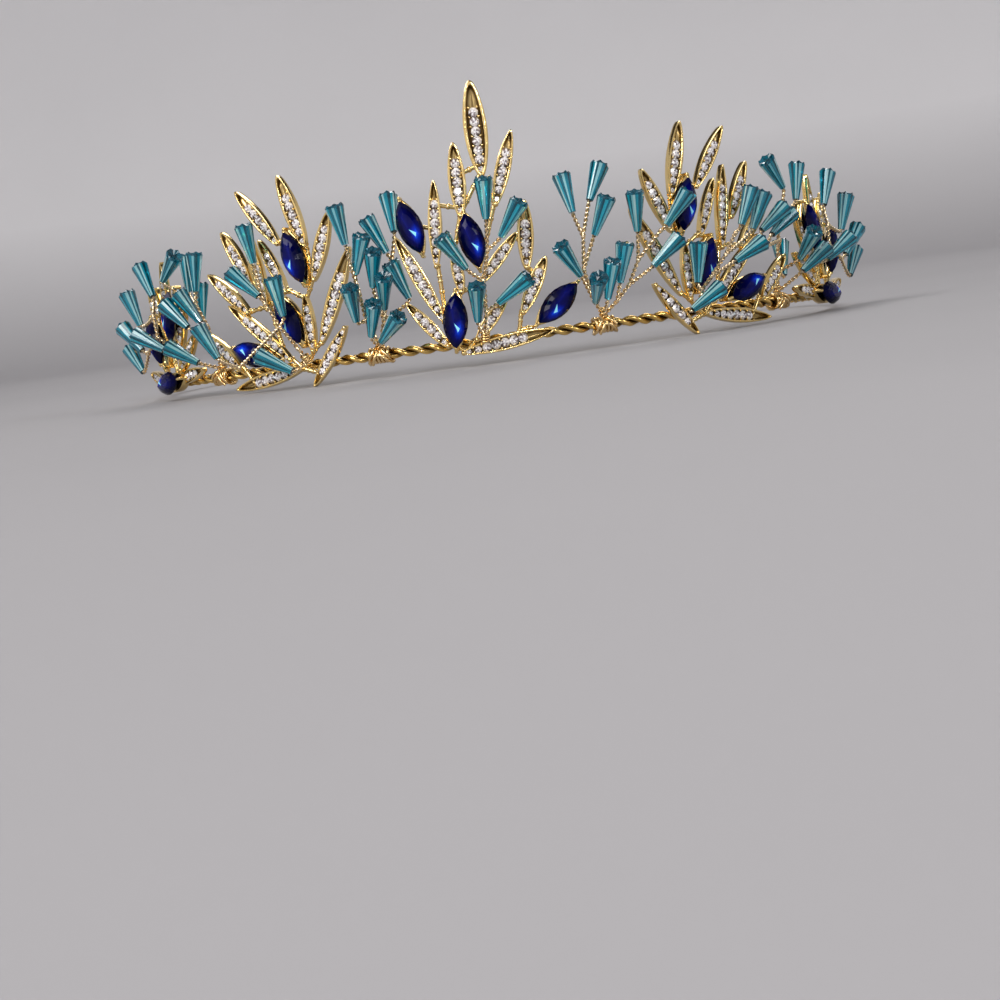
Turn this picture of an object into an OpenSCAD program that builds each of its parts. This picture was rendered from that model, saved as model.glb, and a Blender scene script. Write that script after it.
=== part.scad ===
// A bridal crown: a ring of twisted wire carries five castings of leaves, sprays of glass beads on wire
// stems between the castings, and a sprig of beads in front of each casting.
// The front of the crown faces -Y and +Z is up. It rests on the plane z = 0 on the lowest leaf tips of its
// two side castings and on the back of the band, so its front is a little higher than its back.
// A place on the crown is an arc length s round the band's front face, a height z over the middle of the
// band, and a lift, the distance outwards from the middle of the band.

/* [Band] */
// Radius of the ring, to the middle of its wire
band_r = 93; // [90:0.5:96]
// Outer diameter of the twisted wire
band_d = 2.3; // [2.1:0.1:2.5]

/* [Castings] */
// Angle from the front of the crown to a side casting
side_az = 33.5; // [33:0.5:34]
// Angle from the front of the crown to a far casting
far_az = 61.5; // [61:0.5:62]
// Thickness of a cast leaf
leaf_t = 1.6; // [1.4:0.1:1.8]
// Width of the raised rim round a leaf
rim_w = 0.7; // [0.6:0.05:0.8]
// Depth of the channel inside the rim
channel_d = 0.8; // [0.6:0.1:0.9]
// Diameter of the bars that link the leaves
link_d = 1.5; // [1.3:0.1:1.6]

/* [Marquise stones] */
// Length of a stone between its points
stone_l = 12.8; // [12.4:0.1:13]
// Width of a stone
stone_w = 5.8; // [5.4:0.1:6]
// Thickness of a stone
stone_t = 3; // [2.6:0.1:3.2]
// Height of the claws over their seat
claw_h = 2.4; // [2:0.1:2.8]

/* [Beads and wire] */
// Length of a tapered bead
bead_l = 9.5; // [9:0.1:10]
// Diameter of a bead's wide end
bead_d = 4.6; // [4.2:0.1:4.8]
// Diameter of a bead's narrow end
bead_tip_d = 1.8; // [1.6:0.1:2]
// Diameter of a twisted stem wire
stem_d = 0.9; // [0.8:0.05:1]
// Outer diameter of the wire wrapped round the band under a spray
wrap_d = 4; // [3.6:0.1:4.2]
// Length of that wrapping along the band
wrap_l = 8; // [7:0.5:9]

/* [Hidden] */
// Distance between two pieces that touch on the real crown
gap = 0.15;
// Radius on which the castings lie, which is also that of every arc length
face_r = band_r + band_d / 2 + gap;
// Lift of the castings' back
face_lift = face_r - band_r;

// Angles from the front of the pieces between the castings
left_spray_az = -18;
right_spray_az = 14.5;
outer_spray_az = 47.5;

gold = [0.85, 0.65, 0.25];
navy = [0.04, 0.06, 0.45];
teal = [0.2, 0.62, 0.66];
champagne = [0.8, 0.66, 0.48];

// Columns of a leaf: foot s, foot z, tip s, tip z, width, lift over the face
centre_leaves = [
    [-0.4, 36.5, -0.3, 58.3, 5.4, 0.3],
    [-6.2, 28.0, -5.8, 45.2, 4.0, 0.0],
    [1.6, 29.5, 7.5, 46.3, 3.6, 0.0],
    [-13.2, 17.5, -11.2, 37.5, 3.2, 0.3],
    [-12.8, 4.8, -21.8, 26.2, 3.4, 0.0],
    [-12.5, -0.6, -21.2, 10.8, 3.0, 0.3],
    [-10.5, -2.2, 11.5, 0.4, 3.6, 0.0],
    [-6.8, 0.0, 1.8, 9.2, 3.0, 0.5],
    [-4.2, 12.6, 5.9, 23.4, 3.0, 0.5],
    [6.8, 14.5, 8.3, 30.4, 3.8, 0.3],
    [4.4, 4.6, 11.6, 17.2, 3.6, 0.0],
    [-8.2, 11.0, -8.9, 21.5, 2.8, 0.5],
];
// On the side and far castings s counts away from the front of the crown
side_leaves = [
    [-11.4, 26.8, -6.6, 44.4, 4.0, 0.3],
    [-4.6, 28.4, 6.2, 42.6, 3.6, 0.3],
    [-12.0, 18.8, -18.4, 34.2, 3.6, 0.0],
    [-11.6, 4.0, -22.4, 25.6, 3.8, 0.0],
    [-19.2, 7.8, -8.6, -5.2, 3.0, 0.5],
    [-9.6, 2.4, -9.4, 16.4, 2.8, 0.3],
    [-4.6, 17.0, 1.6, 30.6, 2.8, 0.0],
    [5.2, 20.6, 12.8, 34.0, 3.6, 0.3],
    [7.2, 13.8, 20.0, 24.8, 3.4, 0.0],
    [1.2, 13.6, 4.6, 33.6, 3.2, 0.5],
    [-3.8, 1.4, 13.6, 16.6, 3.4, 0.3],
    [12.4, 0.8, 24.2, 11.0, 3.6, 0.3],
    [-6.6, -0.6, 15.2, -3.6, 3.6, 0.0],
];
far_leaves = [
    [-1.6, 8.0, -4.0, 30.5, 4.0, 0.0],
    [3.0, 8.6, 7.6, 26.0, 3.6, 0.3],
    [-6.4, 5.6, -14.0, 20.4, 3.6, 0.3],
    [6.6, 4.8, 16.0, 15.6, 3.6, 0.0],
    [-3.4, 0.4, -18.6, 2.4, 3.4, 0.0],
    [3.4, 0.4, 18.4, 3.2, 3.4, 0.3],
    [-7.4, 2.6, -17.4, 11.2, 3.0, 0.5],
    [1.4, 14.6, 1.8, 24.6, 2.8, 0.5],
];

// Columns of a link bar: s and z of its two ends
centre_links = [
    [-9.0, -1.8, -12.6, 0.2], [-12.6, 0.2, -12.6, 5.4], [-12.6, 5.4, -12.9, 18.2],
    [-9.0, -1.8, -6.4, 0.8], [-12.6, 5.4, -8.4, 11.6], [-8.4, 11.6, -4.4, 13.2],
    [-8.8, 20.8, -6.4, 28.8], [-12.0, 32.0, -6.6, 30.6], [-6.4, 28.8, -0.6, 37.6],
    [-6.2, 37.6, -0.8, 39.4], [1.6, 30.4, -0.4, 37.6], [-3.6, 16.4, 1.6, 30.4],
    [4.4, 5.6, 3.2, 0.2], [8.8, 12.4, 6.9, 15.8], [5.0, 22.4, 7.2, 20.6],
    [-15.0, 27.4, -12.4, 26.6], [3.4, 1.4, 6.3, 1.6],
];
side_links = [
    [-10.8, -2.4, -6.0, -0.8], [-11.6, 4.8, -9.8, 3.4], [-9.8, 3.4, -6.0, -0.8], [-9.4, 15.2, -11.9, 19.6],
    [-9.4, 15.2, -4.4, 18.2], [-11.9, 19.6, -11.3, 27.8], [-11.3, 27.8, -4.6, 29.4], [-6.0, -0.8, -3.2, 1.8],
    [-4.4, 18.2, 1.2, 15.0], [-1.0, 4.2, 1.2, 15.0], [1.2, 15.0, 5.4, 21.4], [1.2, 15.0, 7.6, 14.4],
    [7.6, 14.4, 9.6, 12.8], [12.6, 1.6, 9.6, -2.4],
];
far_links = [
    [-3.6, 0.7, 3.6, 0.5], [-3.6, 0.7, -6.6, 6.0], [3.6, 0.5, 6.8, 5.2], [-1.6, 9.4, -3.6, 0.9],
    [3.1, 9.2, 3.6, 0.5], [-1.6, 9.4, 1.4, 15.4], [1.4, 15.4, 3.1, 9.2], [-7.6, 2.8, -3.6, 0.9],
];

// Columns of a marquise stone: s and z of its two points, lift over the face
centre_stones = [
    [-19.4, 34.1, -15.9, 21.2, 0.0],
    [-5.3, 28.8, -3.6, 16.6, 0.9],
    [-9.6, 11.6, -11.1, -0.9, 1.2],
    [17.9, 10.4, 7.2, 2.0, 0.3],
];
side_stones = [
    [-7.3, 31.2, -10.5, 18.8, 0.9],
    [-2.8, 16.8, -7.9, 5.0, 1.2],
    [0.6, 2.1, 12.7, 6.3, 0.9],
];
far_stones = [
    [-10.5, 22.8, -8.1, 10.3, 0.9],
    [3.6, 17.0, -1.0, 5.0, 1.2],
    [-9.4, 1.0, 3.4, -0.6, 1.2],
];

// Columns of a stem point: s, z, lift, and the row of the point that it springs from
left_spray_stems = [
    [0, 2.0, 0, 0], [-2.0, 8.5, 1.6, 0], [-2.1, 14.5, 3.0, 1], [-2.6, 21.0, 4.6, 2],
    [2.0, 8.0, 0.6, 0], [4.0, 15.0, -0.2, 4], [5.4, 21.0, -0.8, 5],
];
right_spray_stems = [
    [0, 2.0, 0, 0], [-2.2, 6.0, 0.8, 0], [-3.6, 13.0, 1.0, 1], [-2.6, 20.5, 0.6, 2],
    [3.4, 4.9, 1.0, 0], [6.3, 8.2, 2.4, 4], [8.6, 13.5, 4.0, 5], [14.4, 19.6, 5.6, 6],
];
outer_left_stems = [
    [0, 2.0, 0, 0], [1.6, 7.0, 0.6, 0], [3.4, 12.6, 0.4, 1], [4.6, 18.0, 2.0, 2], [9.0, 23.0, 5.2, 3],
];
outer_right_stems = [
    [0, 2.0, 0, 0], [1.2, 7.2, 0.6, 0], [2.8, 13.0, 0.2, 1], [4.0, 19.6, 0.8, 2],
    [-1.4, 14.4, 3.6, 2], [-8.0, 13.4, 4.8, 4],
];
centre_sprig_stems = [
    [-4.4, 0.6, 4.9, 0], [-3.4, 6.6, 6.6, 0], [-3.0, 13.4, 6.8, 1], [-1.4, 20.0, 6.6, 2],
];
left_sprig_stems = [
    [-9.0, 1.4, 4.9, 0], [-8.4, 4.0, 7.2, 0], [-4.8, 9.6, 7.5, 1], [-1.6, 15.4, 7.4, 2],
    [-0.2, 20.2, 7.0, 3], [8.8, 1.6, 7.1, 2],
];
right_sprig_stems = [
    [-9.0, 1.4, 4.9, 0], [-9.3, 4.6, 7.0, 0], [-6.4, 7.7, 7.4, 1], [-1.7, 12.2, 7.4, 2],
    [2.3, 17.0, 7.0, 3],
];
far_sprig_stems = [
    [-9.6, 8.2, 4.9, 0], [-6.4, 12.0, 7.4, 0], [-6.0, 17.0, 7.4, 1], [0.2, 8.4, 7.6, 1],
];

// Columns of a bead: s, z and lift of its narrow end, s, z and lift of the place that its wide end points to,
// and the row of the stem point that it springs from
left_spray_beads = [
    [7.3, 27.5, 0.2, 6.3, 35.9, -2.4, 6],
    [4.9, 23.0, 0.4, 1.7, 30.6, 1.2, 6],
    [-3.1, 26.0, 4.8, -3.8, 33.8, 6.0, 3],
    [-2.6, 19.3, 2.4, 0.6, 26.7, 4.4, 2],
    [1.0, 15.8, 2.0, 3.3, 23.1, 5.8, 4],
    [8.8, 12.1, 0.8, 6.3, 19.7, 2.6, 4],
    [2.9, 10.5, 1.6, 5.8, 19.3, 8.2, 4],
    [-3.9, 8.5, 2.8, -2.9, 14.4, 6.4, 1],
    [-0.7, 4.6, 3.0, 2.4, 12.0, 7.4, 0],
    [1.4, 3.0, 2.6, 6.9, 7.7, 6.4, 0],
];
right_spray_beads = [
    [-4.4, 26.3, 0.6, -5.6, 35.6, -1.0, 3],
    [0.2, 28.6, 0.2, 4.8, 37.0, -1.4, 3],
    [-0.2, 20.6, 1.6, 2.8, 28.5, 4.6, 2],
    [-4.8, 11.8, 1.8, -9.4, 18.9, 5.0, 1],
    [0.4, 5.8, 3.4, 1.2, 13.5, 7.0, 0],
    [-2.8, 5.4, 4.4, -3.4, 9.4, 10.2, 1],
    [4.1, 9.0, 2.6, 5.6, 17.6, 4.8, 4],
    [9.2, 20.1, 4.4, 8.6, 29.7, 6.8, 6],
    [11.9, 11.8, 4.6, 17.8, 16.9, 6.4, 5],
    [15.6, 20.6, 6.2, 20.4, 27.4, 9.2, 7],
];
centre_sprig_beads = [
    [-0.8, 27.0, 7.2, -0.3, 35.6, 9.4, 3],
    [1.8, 22.6, 7.2, 6.0, 29.0, 9.8, 3],
    [-6.4, 16.6, 7.4, -10.2, 23.6, 9.6, 2],
    [-0.6, 8.0, 8.0, 5.6, 12.2, 10.4, 1],
    [-5.4, 4.6, 7.2, -4.6, 11.8, 11.4, 0],
];
outer_left_beads = [
    [12.4, 25.4, 5.8, 5.6, 30.8, 5.4, 4],
    [11.4, 22.0, -0.4, 11.0, 29.6, -0.8, 3],
    [3.4, 21.6, 2.4, 2.0, 29.0, 2.4, 3],
    [1.6, 13.0, 7.4, 7.6, 19.8, 9.4, 2],
    [0.2, 13.8, 4.6, 3.6, 20.2, 6.4, 2],
    [3.6, 4.2, 4.6, 9.4, 8.8, 8.4, 0],
    [8.2, 14.6, -1.2, 9.6, 22.0, -2.6, 2],
];
outer_right_beads = [
    [6.4, 27.4, 1.6, 0.8, 34.2, 1.2, 3],
    [11.0, 24.2, 2.4, 13.0, 31.6, 2.6, 3],
    [-9.4, 17.2, 4.6, -2.0, 22.4, 7.0, 5],
    [-4.8, 16.0, 4.0, 2.6, 20.8, 5.4, 5],
    [5.0, 9.6, 4.8, 3.4, 13.6, 9.0, 1],
    [4.8, 6.0, -0.2, 7.6, 13.4, -1.6, 1],
    [5.2, 6.4, 5.0, 11.0, 11.6, 9.4, 0],
];
left_sprig_beads = [
    [0.3, 25.1, 7.0, 0.9, 34.1, 8.0, 4],
    [-0.3, 17.4, 7.8, 3.6, 21.8, 8.8, 3],
    [-6.3, 12.0, 8.0, -6.1, 19.5, 9.4, 2],
    [-6.1, -0.9, 7.4, 0.1, 3.3, 9.4, 0],
    [15.7, 4.5, 7.0, 18.4, 11.0, 8.4, 5],
];
right_sprig_beads = [
    [-10.6, 6.7, 8.0, -9.9, 16.2, 9.2, 1],
    [-12.5, 0.6, 7.4, -5.1, 5.0, 9.2, 0],
    [0.9, 10.5, 7.4, 6.6, 13.3, 8.8, 2],
    [4.2, 18.8, 7.2, 7.2, 26.0, 8.4, 4],
    [7.6, 17.5, 7.2, 10.5, 24.4, 8.6, 3],
];
far_sprig_beads = [
    [-8.0, 22.0, 7.8, -4.0, 30.0, 8.2, 2],
    [1.4, 15.6, 8.2, 3.0, 22.6, 9.6, 2],
    [-10.4, 8.6, 8.2, -4.4, 13.4, 12.4, 0],
    [3.0, 9.4, 8.2, 7.0, 14.4, 10.2, 3],
    [6.8, 4.0, 7.6, 11.6, 9.0, 8.4, 3],
];

// The crown's lowest tip, on the side castings: its depth under the band and its distance in front of the
// ring's middle. It and the back of the band give the slope and height at which the crown rests.
tip_drop = -side_leaves[4][3];
tip_y = face_r * cos(side_az + arc_az(side_leaves[4][2]));
rest_tilt = atan((tip_drop - band_d / 2) / (tip_y + band_r));
rest_z = tip_drop * cos(rest_tilt) - tip_y * sin(rest_tilt);
// Length of stem wire in line with a bead, and diameters of the lumps where stems meet and where a sprig is tied
neck_l = 1.4;
joint_d = 1.3 * stem_d;
knot_d = 2.4;
// How far the ring's middle lies behind the middle of the crown's length
middle_y = 6;

side_names = ["left", "right"];

// Angle round the ring of an arc length on the castings' face
function arc_az(s) = s / face_r * 180 / PI;
// The point at a place on the crown, for a casting or spray at the front
function place(s, z, lift) =
    let (az = arc_az(s), r = band_r + lift) [r * sin(az), -r * cos(az), z];
// Half of a lens outline's points, from one tip towards the other
function lens_side(l, w, steps) =
    let (rho = (l * l + w * w) / (4 * w), half = asin(l / 2 / rho))
    [for (i = [0:steps - 1]) let (a = half - 2 * half * i / steps)
        [rho * sin(a), rho * cos(a) - rho + w / 2]];

// The crown as it rests
module resting() {
    translate([0, middle_y, rest_z]) rotate([-rest_tilt, 0, 0]) children();
}
// A copy on the right of the crown, or its mirror image on the left
module on_side(side) {
    mirror([side == "left" ? 1 : 0, 0, 0]) children();
}
// A flat piece drawn in the XY plane, thickening along Z, stood up on the ring to face outwards
module stood_at(s, z, lift, turn) {
    rotate([0, 0, arc_az(s)])
        translate([0, -band_r - lift, z])
            rotate([90, 0, 0])
                rotate([0, 0, turn])
                    children();
}
// A piece drawn along Z from the origin, laid from one point towards another
module along(from, to) {
    d = to - from;
    translate(from) rotate([0, acos(d.z / norm(d)), atan2(d.y, d.x)]) children();
}
// An eight-sided bar that runs past both its points by a fifth of its thickness
module bar(from, to, d) {
    extra = d / 5;
    along(from, to) translate([0, 0, -extra]) cylinder(h = norm(to - from) + 2 * extra, d = d, $fn = 8);
}
module rod(from, to, d) {
    along(from, to) cylinder(h = norm(to - from), d = d, $fn = 24);
}
// A plate with a pointed oval outline
module lens_plate(l, w, t) {
    rho = (l * l + w * w) / (4 * w);
    intersection() {
        translate([0, rho - w / 2, 0]) cylinder(h = t, r = rho, $fn = 180);
        translate([0, w / 2 - rho, 0]) cylinder(h = t, r = rho, $fn = 180);
    }
}

// The two-strand wire as one round rod
module band() {
    color(gold) resting() rotate_extrude($fn = 360) translate([band_r, 0]) circle(d = band_d, $fn = 24);
}

// A leaf: a pointed plate with a channel that leaves a raised rim
module leaf(row) {
    l = norm([row[2] - row[0], row[3] - row[1]]);
    turn = atan2(row[3] - row[1], row[2] - row[0]);
    stood_at((row[0] + row[2]) / 2, (row[1] + row[3]) / 2, face_lift + row[5], turn)
        difference() {
            lens_plate(l, row[4], leaf_t);
            translate([0, 0, leaf_t - channel_d])
                lens_plate(l - 3.2 * rim_w, row[4] - 2 * rim_w, leaf_t);
        }
}
// A bar between two leaves, inside their thickness
module link_bar(row) {
    lift = face_lift + link_d / 2;
    bar(place(row[0], row[1], lift), place(row[2], row[3], lift), link_d);
}
// The seat behind a marquise stone, with a claw at each point of it
module seat(row) {
    seat_l = stone_l + 1.6;
    claw_d = 1;
    turn = atan2(row[3] - row[1], row[2] - row[0]);
    stood_at((row[0] + row[2]) / 2, (row[1] + row[3]) / 2, face_lift, turn) {
        lens_plate(seat_l, stone_w + 0.6, row[4] + 1);
        for (end = [-1, 1])
            translate([end * (stone_l / 2 + gap + claw_d / 2), 0, 0])
                cylinder(h = row[4] + claw_h, d = claw_d, $fn = 24);
    }
}
module casting(leaves, links, stones) {
    color(gold) {
        for (row = leaves) leaf(row);
        for (row = links) link_bar(row);
        for (row = stones) seat(row);
    }
}

// A faceted marquise stone, from its flat back over the girdle to its table
module marquise(row) {
    turn = atan2(row[3] - row[1], row[2] - row[0]);
    girdle_z = 0.4 * stone_t;
    stood_at((row[0] + row[2]) / 2, (row[1] + row[3]) / 2, face_lift + row[4] + 1 + gap, turn)
        color(navy) hull() {
            stone_layer(0.55, 0, 0.1);
            stone_layer(1, girdle_z, 0.3);
            stone_layer(0.55, stone_t - 0.1, 0.1);
        }
}
module stone_layer(share, z, t) {
    side = lens_side(stone_l * share, stone_w * share, 6);
    translate([0, 0, z]) linear_extrude(t) polygon(concat(side, -side));
}

// A tapered six-sided glass bead: its narrow end is at the first place and its wide end points to the second
module bead(row) {
    from = place(row[0], row[1], row[2]);
    to = place(row[3], row[4], row[5]);
    color(teal) along(from, to)
        rotate_extrude($fn = 6)
            polygon([[0, 0], [bead_tip_d / 2, 0], [bead_d / 2, bead_l * 0.9], [bead_d * 0.34, bead_l], [0, bead_l]]);
}
// The stem wires of a spray or sprig. The last stretch of each lies in line with its bead and stops a gap
// short of it, or runs into it when the two are joined.
module stems(points, beads, joined = false) {
    reach = joined ? -0.6 : gap;
    color(champagne) {
        for (p = points) joint(place(p[0], p[1], p[2]));
        for (i = [1:len(points) - 1]) {
            p = points[i];
            q = points[p[3]];
            rod(place(q[0], q[1], q[2]), place(p[0], p[1], p[2]), stem_d);
        }
        for (b = beads) {
            q = points[b[6]];
            tip = place(b[0], b[1], b[2]);
            back = tip - place(b[3], b[4], b[5]);
            neck = tip + back / norm(back) * neck_l;
            joint(neck);
            rod(place(q[0], q[1], q[2]), neck, stem_d);
            rod(neck, tip + back / norm(back) * reach, stem_d);
        }
    }
}
// The lump where stem wires meet
module joint(at) {
    translate(at) sphere(d = joint_d, $fn = 24);
}
// The wire wound round the band under a spray
module wrap() {
    sweep = wrap_l / band_r * 180 / PI;
    color(champagne) rotate([0, 0, -90 - sweep / 2])
        rotate_extrude(angle = sweep, $fn = 180)
            translate([band_r, 0]) difference() {
                circle(d = wrap_d, $fn = 24);
                circle(d = band_d + 2 * gap, $fn = 24);
            }
}
// The knot that ties a sprig to its casting
module knot(points) {
    color(champagne) translate(place(points[0][0], points[0][1], points[0][2])) sphere(d = knot_d, $fn = 24);
}
module spray_wires(points, beads, joined = false) {
    wrap();
    stems(points, beads, joined);
}
module sprig_wires(points, beads, joined = false) {
    knot(points);
    stems(points, beads, joined);
}

band();

resting() casting(centre_leaves, centre_links, centre_stones);  // casting_centre
for (side = side_names) {
    resting() on_side(side) rotate([0, 0, side_az]) casting(side_leaves, side_links, side_stones);
    resting() on_side(side) rotate([0, 0, far_az])
            casting(far_leaves, far_links, far_stones);
}

for (i = [1:len(centre_stones)])
    resting() marquise(centre_stones[i - 1]);
for (side = side_names) {
    for (i = [1:len(side_stones)])
        resting() on_side(side) rotate([0, 0, side_az]) marquise(side_stones[i - 1]);
    for (i = [1:len(far_stones)])
        resting() on_side(side) rotate([0, 0, far_az]) marquise(far_stones[i - 1]);
}

resting() rotate([0, 0, left_spray_az]) spray_wires(left_spray_stems, left_spray_beads);  // spray_wires_left
resting() rotate([0, 0, right_spray_az]) spray_wires(right_spray_stems, right_spray_beads);  // spray_wires_right
resting() sprig_wires(centre_sprig_stems, centre_sprig_beads);  // sprig_wires_centre
for (i = [1:len(left_spray_beads)])
    resting() rotate([0, 0, left_spray_az]) bead(left_spray_beads[i - 1]);
for (i = [1:len(right_spray_beads)])
    resting() rotate([0, 0, right_spray_az]) bead(right_spray_beads[i - 1]);
for (i = [1:len(centre_sprig_beads)])
    resting() bead(centre_sprig_beads[i - 1]);

module beaded_spray(points, beads) {
    spray_wires(points, beads, joined = true);
    for (row = beads) bead(row);
}
module beaded_sprig(points, beads) {
    sprig_wires(points, beads, joined = true);
    for (row = beads) bead(row);
}
resting() on_side("left") rotate([0, 0, outer_spray_az]) beaded_spray(outer_left_stems, outer_left_beads);  // spray_outer_left
resting() rotate([0, 0, outer_spray_az]) beaded_spray(outer_right_stems, outer_right_beads);  // spray_outer_right
resting() on_side("left") rotate([0, 0, side_az]) beaded_sprig(left_sprig_stems, left_sprig_beads);  // sprig_left
resting() rotate([0, 0, side_az]) beaded_sprig(right_sprig_stems, right_sprig_beads);  // sprig_right
for (side = side_names)
    resting() on_side(side) rotate([0, 0, far_az])
            beaded_sprig(far_sprig_stems, far_sprig_beads);
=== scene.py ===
import math

import bmesh
import bpy
from mathutils import Matrix, Quaternion, Vector


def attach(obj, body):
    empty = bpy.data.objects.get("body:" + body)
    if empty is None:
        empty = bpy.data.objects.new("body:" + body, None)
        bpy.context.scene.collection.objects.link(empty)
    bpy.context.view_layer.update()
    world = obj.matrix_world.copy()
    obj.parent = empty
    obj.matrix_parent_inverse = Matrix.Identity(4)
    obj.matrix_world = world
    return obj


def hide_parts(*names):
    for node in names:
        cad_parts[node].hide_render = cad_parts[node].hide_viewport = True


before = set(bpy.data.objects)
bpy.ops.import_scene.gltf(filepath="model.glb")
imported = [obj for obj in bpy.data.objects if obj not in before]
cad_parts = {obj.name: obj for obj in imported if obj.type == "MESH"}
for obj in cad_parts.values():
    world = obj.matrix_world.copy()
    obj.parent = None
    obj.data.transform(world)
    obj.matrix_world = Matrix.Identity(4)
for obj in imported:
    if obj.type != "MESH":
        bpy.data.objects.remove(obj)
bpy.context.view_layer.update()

scene = bpy.context.scene

# The camera stands in front of the crown and a little to its left, with the lens just over the level of the
# band. It is held tilted, so the crown's left end lies lower in the picture.
lens_at = Vector((-0.01164, -0.50673, 0.01526))
looks_at = Vector((-0.00504, 0.00309, -0.04141))
camera_tilt = math.radians(-7.81)
sensor_width = 36
focal_share = 1.826
nearest_seen = 0.005
camera_data = bpy.data.cameras.new("camera")
camera_data.sensor_width = sensor_width
camera_data.lens = focal_share * sensor_width
camera_data.clip_start = nearest_seen
camera = bpy.data.objects.new("camera", camera_data)
camera.location = lens_at
camera.rotation_mode = "QUATERNION"
level = (looks_at - lens_at).to_track_quat("-Z", "Y")
camera.rotation_quaternion = level @ Quaternion((0, 0, 1), camera_tilt)
scene.collection.objects.link(camera)
scene.camera = camera
scene.view_settings.view_transform = "Standard"

# A photographer's pale sweep: a flat floor that curves up into a low wall all round, so no edge shows behind
# the crown from any side. It is matt card, with painted light that makes it paler as it rises, so the wall
# looks more brightly lit than the floor.


class Value:
    """A socket of a material's node tree. Arithmetic on it adds Math nodes."""

    def __init__(self, tree, socket):
        self.tree = tree
        self.socket = socket

    def node(self, kind, inputs, output=0, stops=None, **settings):
        made = self.tree.nodes.new(kind)
        for name, value in settings.items():
            setattr(made, name, value)
        if stops:
            ramp = made.color_ramp
            ramp.elements[0].position, ramp.elements[0].color = stops[0]
            ramp.elements[1].position, ramp.elements[1].color = stops[-1]
            for position, color in stops[1:-1]:
                ramp.elements.new(position).color = color
        for name, value in inputs.items():
            if isinstance(value, Value):
                self.tree.links.new(value.socket, made.inputs[name])
            else:
                made.inputs[name].default_value = value
        return Value(self.tree, made.outputs[output])

    def math(self, operation, first, second):
        return self.node("ShaderNodeMath", {0: first, 1: second}, operation=operation)

    def __add__(self, other):
        return self.math("ADD", self, other)

    def __radd__(self, other):
        return self.math("ADD", other, self)

    def __sub__(self, other):
        return self.math("SUBTRACT", self, other)

    def __mul__(self, other):
        return self.math("MULTIPLY", self, other)

    def height(self):
        """How far up a place or a direction lies."""
        return self.node("ShaderNodeSeparateXYZ", {0: self}, output=2)

    def mix(self, color_a, color_b):
        """One colour where this value is 0 and the other where it is 1."""
        return self.node("ShaderNodeMix", {0: self, 6: color_a, 7: color_b}, output=2, data_type="RGBA")

    def ramp(self, stops):
        """The colour at this value, between stops of a position and a colour each."""
        return self.node("ShaderNodeValToRGB", {"Fac": self}, stops=stops)

    def noise(self, scale, detail=2.0):
        """Cloudy noise between 0 and 1 at this many clouds a metre."""
        return self.node("ShaderNodeTexNoise", {"Vector": self, "Scale": scale, "Detail": detail})

    def stored(self, name):
        """The number that the mesh holds under this name, and 0 where it holds none."""
        return self.node("ShaderNodeAttribute", {}, output=2, attribute_name=name)

    def bump(self, distance):
        """A surface normal from this height, whose full range is a distance in metres."""
        return self.node("ShaderNodeBump", {"Height": self, "Distance": distance})

    def feed(self, name):
        """Links this value to a socket of the material's shader."""
        self.tree.links.new(self.socket, self.tree.nodes["Principled BSDF"].inputs[name])


def finish(name, constants):
    """A new material, and the place on the surface as a Value."""
    material = bpy.data.materials.new(name)
    material.use_nodes = True
    tree = material.node_tree
    for socket, value in constants.items():
        tree.nodes["Principled BSDF"].inputs[socket].default_value = value
    coordinates = tree.nodes.new("ShaderNodeTexCoord")
    return material, Value(tree, coordinates.outputs["Object"])


card, card_place = finish("pale card", {"Roughness": 0.75, "Specular IOR Level": 0.25})
clouds_in_card = card_place.noise(6.0, 3.0)
# Painted light: the card's colour grows paler with height, from the floor's grey to the wall's pale grey.
floor_color = clouds_in_card.mix((0.34, 0.33, 0.345, 1), (0.37, 0.36, 0.375, 1))
wall_color = clouds_in_card.mix((0.68, 0.67, 0.69, 1), (0.72, 0.71, 0.73, 1))
painted_light_per_metre = 7.0
(card_place.height() * painted_light_per_metre).mix(floor_color, wall_color).feed("Base Color")

inner_radius = 0.4
floor_radius = 1.5
wall_curve = 0.45
wall_height = 0.9
curve_steps = 8
flat_radius = floor_radius - wall_curve
profile = [Vector((0, 0, 0)), Vector((inner_radius, 0, 0)), Vector((flat_radius, 0, 0))]
for step in range(1, curve_steps + 1):
    angle = math.radians(90 * step / curve_steps)
    profile.append(Vector((flat_radius + wall_curve * math.sin(angle), 0,
                           wall_curve - wall_curve * math.cos(angle))))
profile.append(Vector((floor_radius, 0, wall_height)))
sweep_bm = bmesh.new()
profile_verts = [sweep_bm.verts.new(point) for point in profile]
profile_edges = [sweep_bm.edges.new(pair) for pair in zip(profile_verts, profile_verts[1:])]
bmesh.ops.spin(sweep_bm, geom=profile_verts + profile_edges, cent=(0, 0, 0), axis=(0, 0, 1),
               angle=2 * math.pi, steps=72, use_merge=True)
bmesh.ops.remove_doubles(sweep_bm, verts=sweep_bm.verts, dist=1e-6)
for face in sweep_bm.faces:
    face.smooth = True
    turned_from_middle = face.calc_center_median().xy.dot(face.normal.xy) > 0.01
    if face.normal.z < 0 or turned_from_middle:
        face.normal_flip()
sweep_mesh = bpy.data.meshes.new("sweep")
sweep_bm.to_mesh(sweep_mesh)
sweep_bm.free()
sweep_mesh.materials.append(card)
sweep = bpy.data.objects.new("sweep", sweep_mesh)
scene.collection.objects.link(sweep)

# Soft daylight: a big window light from the upper left in front, a weaker one from the right, one from above
# behind the crown for the metal's edges, a small one in front for glints, and a sky that is white overhead,
# dark half way down and grey at the horizon.
lights_aim_at = Vector((0, 0, 0.03))
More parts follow.
